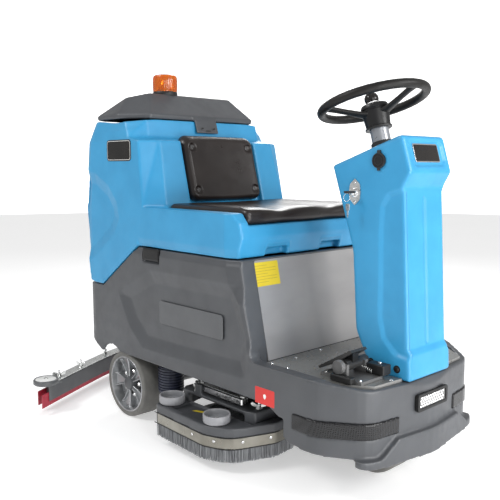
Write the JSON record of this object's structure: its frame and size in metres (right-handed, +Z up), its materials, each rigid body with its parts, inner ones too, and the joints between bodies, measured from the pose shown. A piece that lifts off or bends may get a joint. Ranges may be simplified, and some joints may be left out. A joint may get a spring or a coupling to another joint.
{
  "type": "ride-on floor scrubber machine",
  "caption": "Ride-on floor scrubber: seat on a tilting recovery tank, steering column, disc brushes in a lifting deck with bristle skirt, swept rear squeegee.",
  "frame": {"origin": "on the floor, in the middle of the machine's bounding box in plan", "axes": "+Z up, the machine drives towards -Y, the operator's right is -X"},
  "size_m": [1.22, 1.7584, 1.3744],
  "materials": {
    "blue_polyethylene": "satin",
    "grey_polyethylene": "satin",
    "grey_panel": "satin",
    "black_plastic": "satin",
    "painted_steel": "satin",
    "bright_steel": "satin",
    "cast_alloy": "satin",
    "grey_polyurethane": "matte",
    "seat_foam": "satin",
    "amber_lens": "gloss",
    "clear_lens": "gloss",
    "red_rubber": "matte",
    "grey_bristle": "matte",
    "pale_roller": "satin",
    "red_button": "gloss"
  },
  "bodies": {
    "body": {"base_shell": "grey_polyethylene", "front_bumper": "grey_polyethylene", "headlight": "black_plastic", "headlight_lens": "clear_lens", "corner_lamp_right": "black_plastic", "corner_lamp_left": "black_plastic", "footwell_panel": "grey_panel", "floor_plate": "painted_steel", "steering_column": "blue_polyethylene", "dash_panel": "black_plastic", "key_switch": "bright_steel", "chassis_frame": "painted_steel", "battery_pack": "black_plastic", "vacuum_motor": "black_plastic", "rear_axle": "painted_steel", "solution_filter": "black_plastic", "pedal_base": "black_plastic"},
    "tank": {"recovery_tank": "blue_polyethylene", "seat_cushion": "seat_foam", "backrest": "seat_foam"},
    "latch": {"tank_latch": "black_plastic"},
    "lid": {"tank_lid": "grey_polyethylene", "beacon": "amber_lens"},
    "steering": {"steering_wheel": "black_plastic", "steering_shaft": "painted_steel"},
    "knob": {"spinner_knob": "black_plastic"},
    "fork": {"steering_fork": "painted_steel", "drive_motor": "painted_steel"},
    "drive_wheel": {"front_tyre": "grey_polyurethane", "front_hub": "cast_alloy"},
    "wheel_right": {"rear_tyre_right": "grey_polyurethane", "rear_rim_right": "cast_alloy"},
    "wheel_left": {"rear_tyre_left": "grey_polyurethane", "rear_rim_left": "cast_alloy"},
    "brush_deck": {"deck_housing": "grey_polyethylene", "skirt_cover_right": "grey_polyethylene", "skirt_cover_left": "grey_polyethylene", "clamp_band_right": "bright_steel", "clamp_band_left": "bright_steel", "bristle_skirt_right": "grey_bristle", "bristle_skirt_left": "grey_bristle", "brush_motor_right": "painted_steel", "brush_motor_left": "painted_steel"},
    "brush_right": {"disc_brush_right": "grey_bristle"},
    "brush_left": {"disc_brush_left": "grey_bristle"},
    "roller_right_rear": {"guide_roller_right_rear": "pale_roller"},
    "roller_right_front": {"guide_roller_right_front": "pale_roller"},
    "roller_left_rear": {"guide_roller_left_rear": "pale_roller"},
    "roller_left_front": {"guide_roller_left_front": "pale_roller"},
    "lift_arm": {"deck_lift_arm": "bright_steel"},
    "squeegee_lift_arm": {"squeegee_arm": "painted_steel"},
    "squeegee": {"squeegee_body": "grey_polyethylene", "squeegee_blade_front": "red_rubber", "squeegee_blade_rear": "red_rubber"},
    "squeegee_wheel_right": {"squeegee_roller_right": "pale_roller"},
    "squeegee_wheel_left": {"squeegee_roller_left": "pale_roller"},
    "pedal": {"accelerator_pedal": "black_plastic"},
    "key": {"ignition_key": "black_plastic"},
    "cap": {"socket_cap": "black_plastic"},
    "stop_button": {"emergency_button": "red_button"}
  },
  "joints": [
    {"name": "tank_tilt", "type": "hinge", "parent": "body", "child": "tank", "pos_m": [0.3605, 0, 0.702], "axis": [0, 1, 0], "range_deg": [0, 50]},
    {"name": "lid_open", "type": "hinge", "parent": "tank", "child": "lid", "pos_m": [0, 0.565, 1.191], "axis": [-1, 0, 0], "range_deg": [0, 80]},
    {"name": "latch_release", "type": "hinge", "parent": "body", "child": "latch", "pos_m": [-0.36, 0.12, 0.66], "axis": [0, -1, 0], "range_deg": [0, 95]},
    {"name": "fork_steer", "type": "hinge", "parent": "body", "child": "fork", "pos_m": [0, -0.658, 0.3], "axis": [0, 0, 1], "range_deg": [-60, 60]},
    {"name": "wheel_turn", "type": "hinge", "parent": "body", "child": "steering", "pos_m": [0, -0.615, 1.205], "axis": [0, 0.2756, 0.9613], "range_deg": [-181, 181]},
    {"name": "knob_spin", "type": "hinge", "parent": "steering", "child": "knob", "pos_m": [0.13591, -0.51581, 1.19268], "axis": [0, 0.2756, 0.9613], "continuous": true},
    {"name": "drive_wheel_spin", "type": "hinge", "parent": "fork", "child": "drive_wheel", "pos_m": [0, -0.658, 0.125], "axis": [1, 0, 0], "continuous": true},
    {"name": "right_wheel_spin", "type": "hinge", "parent": "body", "child": "wheel_right", "pos_m": [-0.297, 0.325, 0.1325], "axis": [1, 0, 0], "continuous": true},
    {"name": "left_wheel_spin", "type": "hinge", "parent": "body", "child": "wheel_left", "pos_m": [0.297, 0.325, 0.1325], "axis": [1, 0, 0], "continuous": true},
    {"name": "deck_lift", "type": "slide", "parent": "body", "child": "brush_deck", "axis": [0, 0, 1], "range_m": [-0.034, 0]},
    {"name": "lift_arm_turn", "type": "hinge", "parent": "body", "child": "lift_arm", "pos_m": [-0.287, -0.31, 0.209], "axis": [1, 0, 0], "range_deg": [-9.5, 0]},
    {"name": "right_brush_spin", "type": "hinge", "parent": "brush_deck", "child": "brush_right", "pos_m": [-0.205, -0.196, 0.1], "axis": [0, 0, 1], "continuous": true},
    {"name": "left_brush_spin", "type": "hinge", "parent": "brush_deck", "child": "brush_left", "pos_m": [0.205, -0.196, 0.1], "axis": [0, 0, 1], "continuous": true},
    {"name": "squeegee_lift", "type": "hinge", "parent": "body", "child": "squeegee_lift_arm", "pos_m": [0, 0.483, 0.206], "axis": [1, 0, 0], "range_deg": [-4.4, 0]},
    {"name": "squeegee_swing", "type": "hinge", "parent": "squeegee_lift_arm", "child": "squeegee", "pos_m": [0, 0.77, 0.12], "axis": [0, 0, 1], "range_deg": [-12, 12]},
    {"name": "right_squeegee_wheel_spin", "type": "hinge", "parent": "squeegee", "child": "squeegee_wheel_right", "pos_m": [-0.56, 0.59, 0.13], "axis": [0, 0, 1], "continuous": true},
    {"name": "left_squeegee_wheel_spin", "type": "hinge", "parent": "squeegee", "child": "squeegee_wheel_left", "pos_m": [0.56, 0.59, 0.13], "axis": [0, 0, 1], "continuous": true},
    {"name": "pedal_press", "type": "hinge", "parent": "body", "child": "pedal", "pos_m": [-0.211, -0.712, 0.412], "axis": [1, 0, 0], "range_deg": [0, 14], "stiffness_Nm_per_rad": 1.5, "springref_deg": -14.32},
    {"name": "key_turn", "type": "hinge", "parent": "body", "child": "key", "pos_m": [-0.14, -0.638, 0.924], "axis": [1, 0, 0], "range_deg": [0, 90]},
    {"name": "cap_open", "type": "hinge", "parent": "body", "child": "cap", "pos_m": [-0.116, -0.727, 1.051], "axis": [0, 1, 0], "range_deg": [0, 110]},
    {"name": "stop_press", "type": "slide", "parent": "body", "child": "stop_button", "axis": [0, -0.9496, 0.3135], "range_m": [0, 0.006], "stiffness_N_per_m": 400, "springref_m": -0.003},
    {"name": "right_rear_roller_spin", "type": "hinge", "parent": "brush_deck", "child": "roller_right_rear", "pos_m": [-0.381, -0.034, 0.16], "axis": [0, 0, 1], "continuous": true},
    {"name": "right_front_roller_spin", "type": "hinge", "parent": "brush_deck", "child": "roller_right_front", "pos_m": [-0.388, -0.29, 0.16], "axis": [0, 0, 1], "continuous": true},
    {"name": "left_rear_roller_spin", "type": "hinge", "parent": "brush_deck", "child": "roller_left_rear", "pos_m": [0.381, -0.034, 0.16], "axis": [0, 0, 1], "continuous": true},
    {"name": "left_front_roller_spin", "type": "hinge", "parent": "brush_deck", "child": "roller_left_front", "pos_m": [0.388, -0.29, 0.16], "axis": [0, 0, 1], "continuous": true}
  ],
  "couplings": [
    {"joint": "wheel_turn", "follows": "fork_steer", "ratio": 3},
    {"joint": "lift_arm_turn", "follows": "deck_lift", "rad_per_m": 4.706}
  ]
}
